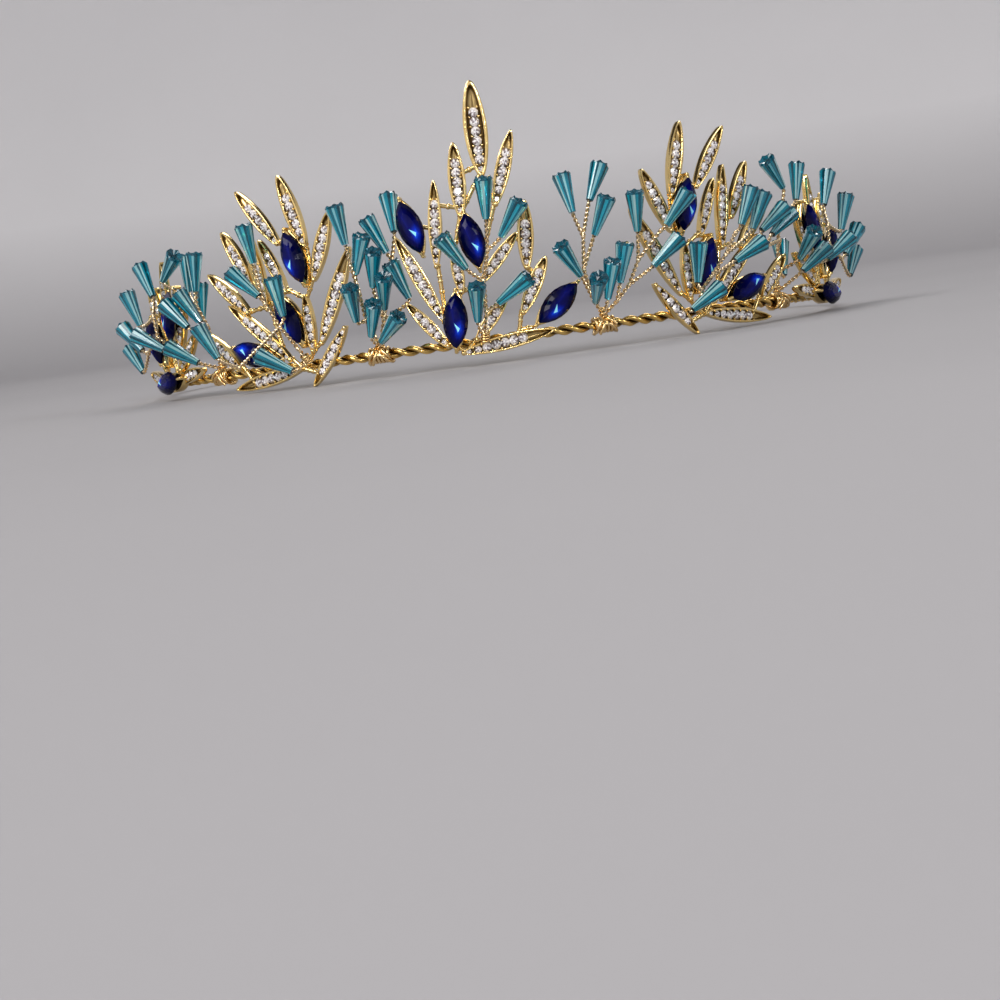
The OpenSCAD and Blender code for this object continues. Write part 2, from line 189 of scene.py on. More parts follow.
# Columns of a light: name, place, side, watts, colour
lights = [
    ("window", (-0.75, -0.95, 0.95), 0.9, 19.0, (1.0, 0.98, 0.95)),
    ("right_fill", (1.0, -0.65, 0.6), 0.35, 2.2, (0.93, 0.97, 1.0)),
    ("back_light", (0.25, 0.9, 1.1), 0.5, 5.0, (1.0, 0.98, 0.96)),
    ("front_glint", (0.12, -1.15, 0.34), 0.12, 2.0, (1.0, 1.0, 1.0)),
]
for name, place_of_light, side, power, tint in lights:
    light_data = bpy.data.lights.new(name, "AREA")
    light_data.size = side
    light_data.energy = power
    light_data.color = tint
    light = bpy.data.objects.new(name, light_data)
    light.location = place_of_light
    light.rotation_mode = "QUATERNION"
    light.rotation_quaternion = (lights_aim_at - Vector(place_of_light)).to_track_quat("-Z", "Y")
    scene.collection.objects.link(light)
sky_strength = 0.42
world = bpy.data.worlds.new("room")
scene.world = world
world.use_nodes = True
sky = world.node_tree
direction = Value(sky, sky.nodes.new("ShaderNodeTexCoord").outputs["Generated"])
sky_color = direction.height().ramp([
    (0.0, (0.50, 0.50, 0.52, 1)), (0.30, (0.42, 0.42, 0.44, 1)), (0.45, (0.06, 0.055, 0.05, 1)),
    (0.72, (0.12, 0.12, 0.13, 1)), (0.86, (1.0, 1.0, 1.0, 1)), (1.0, (1.0, 1.0, 1.0, 1))])
sky.links.new(sky_color.socket, sky.nodes["Background"].inputs["Color"])
sky.nodes["Background"].inputs["Strength"].default_value = sky_strength

# The band is two round wires of gold-plated brass, twisted together and closed into a ring that goes round
# the head. The twist is slack in front and about twice as fine round the back. The ring lies tilted a little,
# on its back and on the lowest leaf tip of each side casting.
millimetre = 0.001
gap = 0.15
band_r = 93.0
band_d = 2.3
strand_d = 1.32
strand_nip = 0.06
front_pitch = 8.0
front_turns = 30
rear_turns = 81
wire_edge = math.radians(60)
face_r = band_r + band_d / 2 + gap
face_lift = face_r - band_r
side_az = 33.5
far_az = 61.5
low_tip_s = -8.6
low_tip_drop = 5.2
low_tip_y = face_r * math.cos(math.radians(side_az) + low_tip_s / face_r)
rest_tilt = math.atan((low_tip_drop - band_d / 2) / (low_tip_y + band_r))
rest_z = low_tip_drop * math.cos(rest_tilt) - low_tip_y * math.sin(rest_tilt)
middle_y = 6.0
as_it_rests = (Matrix.Scale(millimetre, 4) @ Matrix.Translation((0, middle_y, rest_z))
               @ Matrix.Rotation(-rest_tilt, 4, "X"))
mirror_x = Matrix.Diagonal((-1, 1, 1, 1))


def turned(degrees, side="right"):
    """The turn round the ring that takes a piece from the front to its angle, mirrored for the left side."""
    turn = Matrix.Rotation(math.radians(degrees), 4, "Z")
    return mirror_x @ turn if side == "left" else turn


def strand(bm, turns, steps, sides, wire_d, offset, pitch, start_angle=0.0, wound=False, recess_shade=0.5):
    """One helical wire round the Z axis, with closed ends. A wound wire circles the axis almost flat. Recess
    shade is how much painted shade it gets where it faces the axis, in the gap between wires and under turns."""
    before = len(bm.verts)
    ring = bmesh.ops.create_circle(bm, segments=sides, radius=wire_d / 2, cap_ends=False)["verts"]
    if wound:
        bmesh.ops.rotate(bm, verts=ring, cent=(0, 0, 0), matrix=Matrix.Rotation(math.pi / 2, 3, "X"))
    bmesh.ops.translate(bm, verts=ring, vec=(offset, 0, 0))
    bmesh.ops.rotate(bm, verts=ring, cent=(0, 0, 0), matrix=Matrix.Rotation(start_angle, 3, "Z"))
    edges = {edge for vert in ring for edge in vert.link_edges}
    bmesh.ops.contextual_create(bm, geom=list(edges))
    count = max(1, round(turns * steps))
    end = bmesh.ops.spin(bm, geom=ring + list(edges), cent=(0, 0, 0), axis=(0, 0, 1),
                         dvec=(0, 0, turns * pitch / count), angle=turns * 2 * math.pi, steps=count)
    last = [item for item in end["geom_last"] if isinstance(item, bmesh.types.BMEdge)]
    bmesh.ops.contextual_create(bm, geom=last)
    # Painted shade: the deep value grows towards the axis, where the wire meets its neighbour or what it is
    # wound round.
    deep = bm.verts.layers.float.get("deep") or bm.verts.layers.float.new("deep")
    bm.verts.ensure_lookup_table()
    for vert in bm.verts[before:]:
        vert[deep] = recess_shade * (1 - vert.co.xy.length / (offset + wire_d / 2))


def hand_in(name, bm, turn, material, nodes, sharp=math.radians(38)):
    """Puts a piece that was made in millimetres at the front where it belongs, and lets it stand for its
    nodes. Edges that are less sharp than this angle are shaded round."""
    bmesh.ops.transform(bm, matrix=as_it_rests @ turn, verts=bm.verts)
    bmesh.ops.recalc_face_normals(bm, faces=bm.faces)
    for face in bm.faces:
        face.smooth = sharp > 0
    mesh = bpy.data.meshes.new(name)
    bm.to_mesh(mesh)
    bm.free()
    if sharp > 0:
        mesh.set_sharp_from_angle(angle=sharp)
    mesh.materials.append(material)
    piece = bpy.data.objects.new(name, mesh)
    scene.collection.objects.link(piece)
    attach(piece, "root")
    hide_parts(*nodes)


def gold(name, light, dark, roughness, waves):
    """Polished plating: clouds in its tone and gloss, a painted brown shade in recesses that partly stands
    for tarnish where the polish didn't reach, and shallow waves under a fine grain, as hand polishing leaves
    them."""
    material, spot = finish(name, {"Metallic": 1.0})
    clouds = spot.noise(260.0, 3.0)
    deep = spot.stored("deep")
    recess_shade_brown = (0.06, 0.026, 0.006, 1)
    duller_in_clouds = 0.12
    duller_in_recess = 0.2
    grain_share = 0.12
    # Painted shade, partly tarnish: the base colour turns dark brown as the mesh's deep value rises.
    deep.mix(clouds.mix(dark, light), recess_shade_brown).feed("Base Color")
    (roughness + clouds * duller_in_clouds + deep * duller_in_recess).feed("Roughness")
    polish_waves = spot.noise(420.0, 1.0)
    fine_grain = spot.noise(2600.0, 2.0)
    (polish_waves + fine_grain * grain_share).bump(waves).feed("Normal")
    return material


band_gold = gold("band gold", (1.0, 0.73, 0.27, 1), (0.86, 0.50, 0.11, 1), 0.07, 0.00004)
band_bm = bmesh.new()
all_turns = front_turns + rear_turns
# The gaps between the band's two wires get strong painted shade.
for phase in (0, math.pi):
    strand(band_bm, all_turns, steps=10, sides=10, wire_d=strand_d, offset=strand_d / 2 - strand_nip,
           pitch=1.0, start_angle=phase, recess_shade=1.6)
front_half_angle = front_turns * front_pitch / band_r / 2
front_share = front_turns / all_turns
for vert in band_bm.verts:
    share = vert.co.z / all_turns
    if share < front_share:
        angle = (share / front_share * 2 - 1) * front_half_angle
    else:
        past_front = (share - front_share) / (1 - front_share)
        angle = front_half_angle + past_front * 2 * (math.pi - front_half_angle)
    reach = band_r + vert.co.x
    vert.co = Vector((reach * math.sin(angle), -reach * math.cos(angle), -vert.co.y))
hand_in("twisted_band", band_bm, Matrix(), band_gold, ["band"], wire_edge)

# Each casting is a spray of pointed leaves, cast in one piece with the bars that join them, polished and then
# plated. A leaf has a raised rim round a channel, and one row of clear rhinestones is set in the channel from
# the foot to where it narrows. The tips stay empty.
leaf_t = 1.6
rim_share = 0.15
rim_at_tips = 1.2
tip_share = 0.3
channel_d = 0.8
groove_d = 0.3
back_d = 0.3
rim_edge_r = 0.16
# How much narrower each recess is at its floor, along the leaf and across it
channel_taper = (0.96, 0.84, 1)
groove_taper = (0.94, 0.3, 1)
back_taper = (0.97, 0.88, 1)
foot_grain_d = 1.3
foot_grain_sink = 0.3
grain_d = 0.6
grain_sink = 0.1
grain_reach = 1.0
first_stone = 1.9
stone_pitch = 2.12
stone_run = 0.66
smallest_stone_d = 1.4
largest_stone_d = 2.25
stone_bite = 0.3
stone_rise = 0.42
stone_lean = 0.10
lean_step_across = 7.3
lean_step_along = 5.1
link_d = 1.2
link_waist = 0.85
link_lift = 0.75
knot_pitch = 1.15
knot_unevenness = 0.2
golden_angle = 2.4
golden_share = 0.618034
# The marquise stones' sizes, which their seats and claws follow
stone_l = 12.8
stone_w = 5.8
stone_t = 3.0
seat_t = 1.0
seat_l = stone_l + 1.6
seat_w = stone_w - 0.9
seat_edge_r = 0.18
claw_x = stone_l / 2 + gap + 0.5
claw_h = 2.4
claw_bend = 0.5
claw_d = 0.9
claw_elbow_d = 0.92
claw_tip_d = 0.8
claw_reach = 0.75
claw_rise = 0.45
# A place on the crown is s millimetres along the faces, from the piece's middle to the right, and z up from
# the band's middle. Columns of a leaf: s and z of its foot, s and z of its tip, width, lift over the face
centre_leaves = [
    (-0.4, 36.5, -0.3, 58.3, 5.4, 0.3), (-6.2, 28.0, -5.8, 45.2, 4.0, 0.0), (1.6, 29.5, 7.5, 46.3, 3.6, 0.0),
    (-13.2, 17.5, -11.2, 37.5, 3.2, 0.3), (-12.8, 4.8, -21.8, 26.2, 3.4, 0.0),
    (-12.5, -0.6, -21.2, 10.8, 3.0, 0.3), (-10.5, -2.2, 11.5, 0.4, 3.6, 0.0), (-6.8, 0.0, 1.8, 9.2, 3.0, 0.5),
    (-4.2, 12.6, 5.9, 23.4, 3.0, 0.5), (6.8, 14.5, 8.3, 30.4, 3.8, 0.3), (4.4, 4.6, 11.6, 17.2, 3.6, 0.0),
    (-8.2, 11.0, -8.9, 21.5, 2.8, 0.5),
]
side_leaves = [
    (-11.4, 26.8, -6.6, 44.4, 4.0, 0.3), (-4.6, 28.4, 6.2, 42.6, 3.6, 0.3),
    (-12.0, 18.8, -18.4, 34.2, 3.6, 0.0), (-11.6, 4.0, -22.4, 25.6, 3.8, 0.0),
    (-19.2, 7.8, -8.6, -5.2, 3.0, 0.5), (-9.6, 2.4, -9.4, 16.4, 2.8, 0.3), (-4.6, 17.0, 1.6, 30.6, 2.8, 0.0),
    (5.2, 20.6, 12.8, 34.0, 3.6, 0.3), (7.2, 13.8, 20.0, 24.8, 3.4, 0.0), (1.2, 13.6, 4.6, 33.6, 3.2, 0.5),
    (-3.8, 1.4, 13.6, 16.6, 3.4, 0.3), (12.4, 0.8, 24.2, 11.0, 3.6, 0.3), (-6.6, -0.6, 15.2, -3.6, 3.6, 0.0),
]
far_leaves = [
    (-1.6, 8.0, -4.0, 30.5, 4.0, 0.0), (3.0, 8.6, 7.6, 26.0, 3.6, 0.3), (-6.4, 5.6, -14.0, 20.4, 3.6, 0.3),
    (6.6, 4.8, 16.0, 15.6, 3.6, 0.0), (-3.4, 0.4, -18.6, 2.4, 3.4, 0.0), (3.4, 0.4, 18.4, 3.2, 3.4, 0.3),
    (-7.4, 2.6, -17.4, 11.2, 3.0, 0.5), (1.4, 14.6, 1.8, 24.6, 2.8, 0.5),
]
# Columns of a link bar: s and z of its two ends
centre_links = [
    (-9.0, -1.8, -12.6, 0.2), (-12.6, 0.2, -12.6, 5.4), (-12.6, 5.4, -12.9, 18.2), (-9.0, -1.8, -6.4, 0.8),
    (-12.6, 5.4, -8.4, 11.6), (-8.4, 11.6, -4.4, 13.2), (-8.8, 20.8, -6.4, 28.8), (-12.0, 32.0, -6.6, 30.6),
    (-6.4, 28.8, -0.6, 37.6), (-6.2, 37.6, -0.8, 39.4), (1.6, 30.4, -0.4, 37.6), (-3.6, 16.4, 1.6, 30.4),
    (4.4, 5.6, 3.2, 0.2), (8.8, 12.4, 6.9, 15.8), (5.0, 22.4, 7.2, 20.6), (-15.0, 27.4, -12.4, 26.6),
    (3.4, 1.4, 6.3, 1.6),
]
side_links = [
    (-10.8, -2.4, -6.0, -0.8), (-11.6, 4.8, -9.8, 3.4), (-9.8, 3.4, -6.0, -0.8), (-9.4, 15.2, -11.9, 19.6),
    (-9.4, 15.2, -4.4, 18.2), (-11.9, 19.6, -11.3, 27.8), (-11.3, 27.8, -4.6, 29.4), (-6.0, -0.8, -3.2, 1.8),
    (-4.4, 18.2, 1.2, 15.0), (-1.0, 4.2, 1.2, 15.0), (1.2, 15.0, 5.4, 21.4), (1.2, 15.0, 7.6, 14.4),
    (7.6, 14.4, 9.6, 12.8), (12.6, 1.6, 9.6, -2.4),
]
far_links = [
    (-3.6, 0.7, 3.6, 0.5), (-3.6, 0.7, -6.6, 6.0), (3.6, 0.5, 6.8, 5.2), (-1.6, 9.4, -3.6, 0.9),
    (3.1, 9.2, 3.6, 0.5), (-1.6, 9.4, 1.4, 15.4), (1.4, 15.4, 3.1, 9.2), (-7.6, 2.8, -3.6, 0.9),
]
# Columns of a marquise stone: s and z of its two points, lift over the face
centre_stones = [
    (-19.4, 34.1, -15.9, 21.2, 0.0), (-5.3, 28.8, -3.6, 16.6, 0.9), (-9.6, 11.6, -11.1, -0.9, 1.2),
    (17.9, 10.4, 7.2, 2.0, 0.3),
]
side_stones = [(-7.3, 31.2, -10.5, 18.8, 0.9), (-2.8, 16.8, -7.9, 5.0, 1.2), (0.6, 2.1, 12.7, 6.3, 0.9)]
far_stones = [(-10.5, 22.8, -8.1, 10.3, 0.9), (3.6, 17.0, -1.0, 5.0, 1.2), (-9.4, 1.0, 3.4, -0.6, 1.2)]


def place(s, z, lift):
    """The point at a place on the crown, lifted off the band's middle, for a piece at the front."""
    reach = band_r + lift
    return Vector((reach * math.sin(s / face_r), -reach * math.cos(s / face_r), z))


def stood_at(row, lift):
    """Stands a flat piece, drawn along X and thickening along Z, between a row's two ends."""
    s, z = (row[0] + row[2]) / 2, (row[1] + row[3]) / 2
    turn = math.atan2(row[3] - row[1], row[2] - row[0])
    return (Matrix.Rotation(s / face_r, 4, "Z") @ Matrix.Translation((0, -band_r - lift, z))
            @ Matrix.Rotation(math.pi / 2, 4, "X") @ Matrix.Rotation(turn, 4, "Z"))


def along(start, to):
    """Lays a piece that is drawn along Z from one point towards another."""
    d = to - start
    return (Matrix.Translation(start) @ Matrix.Rotation(math.atan2(d.y, d.x), 4, "Z")
            @ Matrix.Rotation(math.atan2(d.xy.length, d.z), 4, "Y"))


def lens_half_width(x, length, width, blunt=0.0):
    """Half the width of a pointed oval at a distance x from its middle. A blunt one has its points rounded
    off where a longer oval would still have some width."""
    whole = length + 2 * blunt
    rho = (whole * whole + width * width) / (4 * width)
    half = max(0.0, math.sqrt(max(0.0, rho * rho - x * x)) - rho + width / 2)
    squareness = 24
    return half * math.sqrt(max(0.0, 1 - abs(2 * x / length) ** squareness)) if blunt else half


def lens_face(bm, length, width, steps, blunt=0.0):
    """A flat pointed oval along X. The corners of a blunt one lie closer together towards its tips."""
    verts = bmesh.ops.create_circle(bm, segments=2 * steps, radius=1, cap_ends=True)["verts"]
    for vert in verts:
        share = math.acos(max(-1.0, min(1.0, vert.co.x))) / math.pi
        x = length / 2 * (vert.co.x if blunt else 1 - 2 * share)
        side = 0 if abs(vert.co.y) < 1e-6 else math.copysign(1, vert.co.y)
        vert.co = Vector((x, side * lens_half_width(x, length, width, blunt), 0))
    return verts[0].link_faces[0]


def raise_face(bm, face, height, scale=(1, 1, 1)):
    """Extrudes a flat face upwards, scales its copy about the Z axis and returns the copy. A face that is
    part of a shell doesn't stay behind inside it."""
    joined = any(len(edge.link_faces) > 1 for edge in face.edges)
    made = bmesh.ops.extrude_face_region(bm, geom=[face])["geom"]
    if joined and face.is_valid:
        bm.faces.remove(face)
    verts = [item for item in made if isinstance(item, bmesh.types.BMVert)]
    bmesh.ops.translate(bm, verts=verts, vec=(0, 0, height))
    bmesh.ops.scale(bm, verts=verts, vec=scale)
    return next(item for item in made if isinstance(item, bmesh.types.BMFace))


def lens_plate(length, width, thickness, steps, blunt=0.0):
    """A closed pointed plate, its lower face and its upper one."""
    bm = bmesh.new()
    bottom = lens_face(bm, length, width, steps, blunt)
    if bottom.normal.z > 0:
        bottom.normal_flip()
    return bm, bottom, raise_face(bm, bottom, thickness)


def soften(bm, edges, offset, segments):
    """Rounds edges off with this many strips, or chamfers them with one."""
    bmesh.ops.bevel(bm, geom=edges, offset=offset, segments=segments, profile=0.5, affect="EDGES",
                    material=-1, clamp_overlap=True)


def stamp(bm, mesh, matrix):
    """Adds a copy of a mesh to a piece."""
    before = len(bm.verts)
    bm.from_mesh(mesh)
    bm.verts.ensure_lookup_table()
    bmesh.ops.transform(bm, matrix=matrix, verts=bm.verts[before:])


def as_mesh(bm, name):
    """A mesh to stamp, from a bmesh that isn't needed after it."""
    mesh = bpy.data.meshes.new(name)
    bm.to_mesh(mesh)
    bm.free()
    return mesh


def leaf_mesh(length, width):
    """A leaf along X with its foot at -X: a rim with rounded edges round a channel, whose walls slope to a
    floor with a groove along it. The hollow back, the channel floor and the groove get painted shade, and the
    groove a painted glint near the tip. The back is hollowed a little inside its edge, to save metal."""
    bm, bottom, top = lens_plate(length, width, leaf_t, steps=16, blunt=tip_share * width)
    rounded = list(top.edges) + list(bottom.edges)
    inside_rim = (1 - 2 * rim_at_tips * rim_share * width / length, 1 - 2 * rim_share, 1)
    for face in (top, bottom):
        bmesh.ops.inset_region(bm, faces=[face], thickness=0.001, depth=0)
        bmesh.ops.scale(bm, verts=face.verts, vec=inside_rim)
    rounded += list(top.edges)
    # Painted shade in the recesses, less in the back's hollow, with a painted glint in the groove near the
    # tip.
    deep = bm.verts.layers.float.new("deep")
    deep_in_back = 0.25
    deep_in_channel = 0.95
    deep_in_groove = 0.85
    groove_glint = 0.8
    glint_at = 0.79
    glint_run = 0.09
    hollow = raise_face(bm, bottom, back_d, back_taper)
    for vert in hollow.verts:
        vert[deep] = deep_in_back
    floor = raise_face(bm, top, -channel_d, channel_taper)
    for vert in floor.verts:
        vert[deep] = deep_in_channel
    groove = raise_face(bm, floor, -groove_d, groove_taper)
    for vert in groove.verts:
        share = vert.co.x / length + 0.5
        vert[deep] = deep_in_groove - groove_glint * math.exp(-((share - glint_at) / glint_run) ** 2)
    soften(bm, rounded, rim_edge_r, segments=2)
    return as_mesh(bm, "leaf")


def brilliant_mesh():
    """A round stone of unit width: a table, a zigzag crown and a cone below. Each facet above has a painted
    flash of its own, which paints the mirror foil's reflections into its colour, light on some facets and
    dark on others. The cone has one for all its facets."""
    table_r = 0.27
    top_t = 0.24
    cone_t = 0.3
    cone_taper = (0.4, 0.4, 1)
    cone_flash = 0.45
    bm = bmesh.new()
    bmesh.ops.create_cone(bm, cap_ends=True, segments=8, radius1=0.5, radius2=table_r, depth=top_t)
    table = [vert for vert in bm.verts if vert.co.z > 0]
    bmesh.ops.rotate(bm, verts=table, cent=(0, 0, 0), matrix=Matrix.Rotation(math.pi / 8, 3, "Z"))
    sides = [face for face in bm.faces if len(face.verts) == 4]
    bmesh.ops.triangulate(bm, faces=sides)
    base = min(bm.faces, key=lambda face: face.calc_center_median().z)
    raise_face(bm, base, -cone_t, cone_taper)
    flat = max(bm.faces, key=lambda face: face.calc_center_median().z)
    bmesh.ops.poke(bm, faces=[flat])
    bmesh.ops.translate(bm, verts=bm.verts, vec=(0, 0, top_t / 2))
    flash = bm.faces.layers.float.new("flash")
    for i, face in enumerate(bm.faces):
        in_cone = face.calc_center_median().z < 0
        face[flash] = cone_flash if in_cone else (i * golden_share) % 1.0
    return as_mesh(bm, "brilliant")


def ball_mesh(segments, rings):
    """A ball of unit width."""
    bm = bmesh.new()
    bmesh.ops.create_uvsphere(bm, u_segments=segments, v_segments=rings, radius=0.5)
    return as_mesh(bm, "ball")


def bar_mesh(length, d, sides):
    """A round bar that stands on its end."""
    bm = bmesh.new()
    bmesh.ops.create_cone(bm, cap_ends=True, segments=sides, radius1=d / 2, radius2=d / 2, depth=length)
    bmesh.ops.translate(bm, verts=bm.verts, vec=(0, 0, length / 2))
    return as_mesh(bm, "bar")


leaf_gold = gold("leaf gold", (1.0, 0.80, 0.40, 1), (0.78, 0.52, 0.16, 1), 0.08, 0.00008)
rhinestone, stone_place = finish("rhinestone", {
    "Metallic": 0.2, "Roughness": 0.05, "IOR": 1.7, "Coat Weight": 1.0, "Coat Roughness": 0.02})
# Painted highlights and shade: each facet's flash picks its colour, from dark grey to white.
sparkle = stone_place.stored("flash") + stone_place.noise(700.0) * 0.3 - 0.15
sparkle.ramp([
    (0.0, (0.10, 0.07, 0.07, 1)), (0.22, (0.36, 0.30, 0.32, 1)), (0.42, (0.86, 0.80, 0.82, 1)),
    (0.7, (1.0, 0.98, 0.97, 1)), (1.0, (1.0, 1.0, 1.0, 1))]).feed("Base Color")
brilliant = brilliant_mesh()
grain_ball = ball_mesh(segments=6, rings=4)
joint_ball = ball_mesh(segments=8, rings=6)


def set_ball(bm, ball, centre, d, stand=Matrix()):
    """Adds a ball of this width at a place on a piece that stands there."""
    stamp(bm, ball, stand @ Matrix.Translation(centre) @ Matrix.Scale(d, 4))


def cast_leaf(bm, gems, row):
    """A leaf with its row of rhinestones, a grain of gold on either side after each stone, and a bigger one
    on its foot."""
    foot_s, foot_z, tip_s, tip_z, width, lift = row
    length = math.hypot(tip_s - foot_s, tip_z - foot_z)
    stand = stood_at(row, face_lift + lift)
    stamp(bm, leaf_mesh(length, width), stand)
    foot = (foot_grain_d / 2 - length / 2, 0, leaf_t - foot_grain_sink)
    set_ball(bm, joint_ball, foot, foot_grain_d, stand)
    rim_w = rim_share * width
    channel_l, channel_w = length - 2 * rim_at_tips * rim_w, width - 2 * rim_w
    count = max(3, int((length * stone_run) / stone_pitch) + 1)
    for i in range(count):
        x = first_stone + i * stone_pitch - length / 2
        room = 2 * lens_half_width(x, channel_l, channel_w)
        d = max(smallest_stone_d, min(largest_stone_d, room + stone_bite))
        lean = (Matrix.Rotation(stone_lean * math.sin(lean_step_across * i + foot_s), 4, "Y")
                @ Matrix.Rotation(stone_lean * math.cos(lean_step_along * i + foot_z), 4, "X"))
        stamp(gems, brilliant, stand @ Matrix.Translation((x, 0, leaf_t - channel_d + stone_rise)) @ lean
              @ Matrix.Rotation(golden_angle * i, 4, "Z") @ Matrix.Scale(d, 4))
        grain_x = x + stone_pitch / 2
        grain_y = min(grain_reach, lens_half_width(grain_x, channel_l, channel_w))
        for side in (-1, 1):
            set_ball(bm, grain_ball, (grain_x, side * grain_y, leaf_t - grain_sink), grain_d, stand)


def cast_link(bm, row):
    """A bar between two leaves, with uneven knots along it."""
    start_s, start_z, end_s, end_z = row
    lift = face_lift + link_lift
    start, to = place(start_s, start_z, lift), place(end_s, end_z, lift)
    stamp(bm, bar_mesh((to - start).length, link_d * link_waist, sides=12), along(start, to))
    knots = max(2, round((to - start).length / knot_pitch))
    for i in range(knots + 1):
        knot_d = link_d * (1.0 + knot_unevenness * math.sin(golden_angle * i + start_s))
        set_ball(bm, joint_ball, start.lerp(to, i / knots), knot_d)


def cast_seat(bm, row):
    """The plate that a marquise stone lies on, with a bent claw at each of the stone's points."""
    stand = stood_at(row, face_lift)
    lift = row[4]
    plate, bottom, top = lens_plate(seat_l, seat_w, lift + seat_t, steps=14)
    soften(plate, list(top.edges) + list(bottom.edges), seat_edge_r, segments=2)
    stamp(bm, as_mesh(plate, "seat"), stand)
    for end in (-1, 1):
        foot = Vector((end * claw_x, 0, 0))
        elbow = foot + Vector((0, 0, lift + claw_h - claw_bend))
        tip = elbow + Vector((-end * claw_reach, 0, claw_rise))
        stamp(bm, bar_mesh((elbow - foot).length, claw_d, sides=10), stand @ along(foot, elbow))
        set_ball(bm, joint_ball, elbow, claw_elbow_d, stand)
        stamp(bm, bar_mesh((tip - elbow).length, claw_tip_d, sides=10), stand @ along(elbow, tip))
        set_ball(bm, joint_ball, tip, claw_tip_d, stand)


def casting(name, turn, leaves, links, stones, node):
    bm = bmesh.new()
    gems = bmesh.new()
    for row in leaves:
        cast_leaf(bm, gems, row)
    for row in links:
        cast_link(bm, row)
    for row in stones:
        cast_seat(bm, row)
    hand_in("leaves_" + name, bm, turn, leaf_gold, [node])
    hand_in("rhinestones_" + name, gems, turn, rhinestone, [node], sharp=0)


sides = ("left", "right")
casting("centre", Matrix(), centre_leaves, centre_links, centre_stones, "casting_centre")
for side in sides:
    casting(side, turned(side_az, side), side_leaves, side_links, side_stones, "casting_" + side)
    casting("far_" + side, turned(far_az, side), far_leaves, far_links, far_stones, "casting_far_" + side)

# The marquise stones are cut from navy glass with a foiled back. Each lies on its seat between two claws: a
# narrow flat back, a girdle, and a crown of narrow facets up to a long table. A bright spot of light and a
# faint one are painted into the colour of the crown's two sides, with a painted highlight on one facet,
# standing for light that the foil throws back.
back_share = 0.6
girdle_z = 0.4 * stone_t
girdle_t = 0.3
stone_top_t = stone_t - girdle_z - girdle_t
shoulder_share = 0.62
shoulder_taper = (0.80, 0.80, 1)
table_taper = (0.68, 0.62, 1)
table_swell = (0.5, -0.2, 0.12)
# Columns of a painted spot of light: the x and y of its middle, its reach along and across, its strength
bright_spot = (1.9, 0.9, 2.6, 1.4, 0.9)
faint_spot = (-2.8, -0.5, 1.8, 0.9, 0.4)
painted_highlight_at = Vector((1.9, 0.7, stone_t))
painted_highlight_strength = 0.55
navy, navy_place = finish("navy glass", {"Roughness": 0.05, "IOR": 1.5, "Specular IOR Level": 0.15})
# Painted light: the stone's colour goes from dark navy to royal blue and white-cyan where the painted glow
# and highlight are.
light_in_stone = navy_place.stored("painted_glow") + navy_place.stored("painted_highlight")
light_in_stone.ramp([
    (0.0, (0.0002, 0.0003, 0.018, 1)), (0.35, (0.0005, 0.002, 0.10, 1)), (0.65, (0.002, 0.018, 0.40, 1)),
    (0.85, (0.008, 0.09, 0.95, 1)), (1.0, (0.30, 0.80, 1.0, 1))]).feed("Base Color")


def light_from(spot, x, y):
    """How much of a painted spot of light falls on a place in a stone."""
    middle_x, middle_y, along_it, across_it, strength = spot
    return strength * math.exp(-((x - middle_x) / along_it) ** 2 - ((y - middle_y) / across_it) ** 2)


def marquise_mesh():
    bm = bmesh.new()
    back = lens_face(bm, stone_l * back_share, stone_w * back_share, steps=8)
    if back.normal.z > 0:
        back.normal_flip()
    girdle = raise_face(bm, back, girdle_z, (1 / back_share, 1 / back_share, 1))
    girdle = raise_face(bm, girdle, girdle_t)
    shoulder = raise_face(bm, girdle, stone_top_t * shoulder_share, shoulder_taper)
    table = raise_face(bm, shoulder, stone_top_t * (1 - shoulder_share), table_taper)
    above_girdle = [face for face in bm.faces if face.calc_center_median().z > girdle_z + girdle_t + 0.01]
    crown = [face for face in above_girdle if face is not table]
    bmesh.ops.triangulate(bm, faces=crown, quad_method="ALTERNATE")
    middle = bmesh.ops.poke(bm, faces=[table])["verts"]
    bmesh.ops.translate(bm, verts=middle, vec=table_swell)
    painted_glow = bm.verts.layers.float.new("painted_glow")
    for vert in bm.verts:
        if vert.co.z > girdle_z + girdle_t:
            x, y = vert.co.xy
            vert[painted_glow] = light_from(bright_spot, x, y) + light_from(faint_spot, x, y)
    painted_highlight = bm.faces.layers.float.new("painted_highlight")
    lit_facet = min(bm.faces, key=lambda face: (face.calc_center_median() - painted_highlight_at).length)
    lit_facet[painted_highlight] = painted_highlight_strength
    return as_mesh(bm, "marquise")


marquise = marquise_mesh()


def set_stones(name, turn, stones):
    for i, row in enumerate(stones, 1):
        bm = bmesh.new()
        stamp(bm, marquise, stood_at(row, face_lift + row[4] + seat_t + gap))
        piece = "%s_%d" % (name, i)
        hand_in("marquise_" + piece, bm, turn, navy, ["stone_" + piece], sharp=0)


set_stones("centre", Matrix(), centre_stones)
for side in sides:
    set_stones(side, turned(side_az, side), side_stones)
    set_stones("far_" + side, turned(far_az, side), far_stones)

# The stems are pairs of fine champagne-gold wires, twisted together from the foot of a spray up to each bead.
# A spray's foot is wound round the band, and a sprig's foot is tied to its casting.
stem_wire_d = 0.54
stem_nip = 0.01
stem_pitch = 2.3
fork_d = 1.1
neck_l = 1.4
fork_phase = 1.3
neck_phase = 0.9
wrap_wire_d = 0.72
wrap_half_l = 2.7
tie_wire_d = wrap_wire_d * 0.8
round_band_r = band_d / 2 + gap
# Columns of a slack loop: s of its two ends, z of its upper end
slack_loops = [(0.7, 1.7, 0.35), (-0.84, -2.04, 0.2), (0.21, 0.51, 0.6)]
slack_loop_foot_z = -0.6
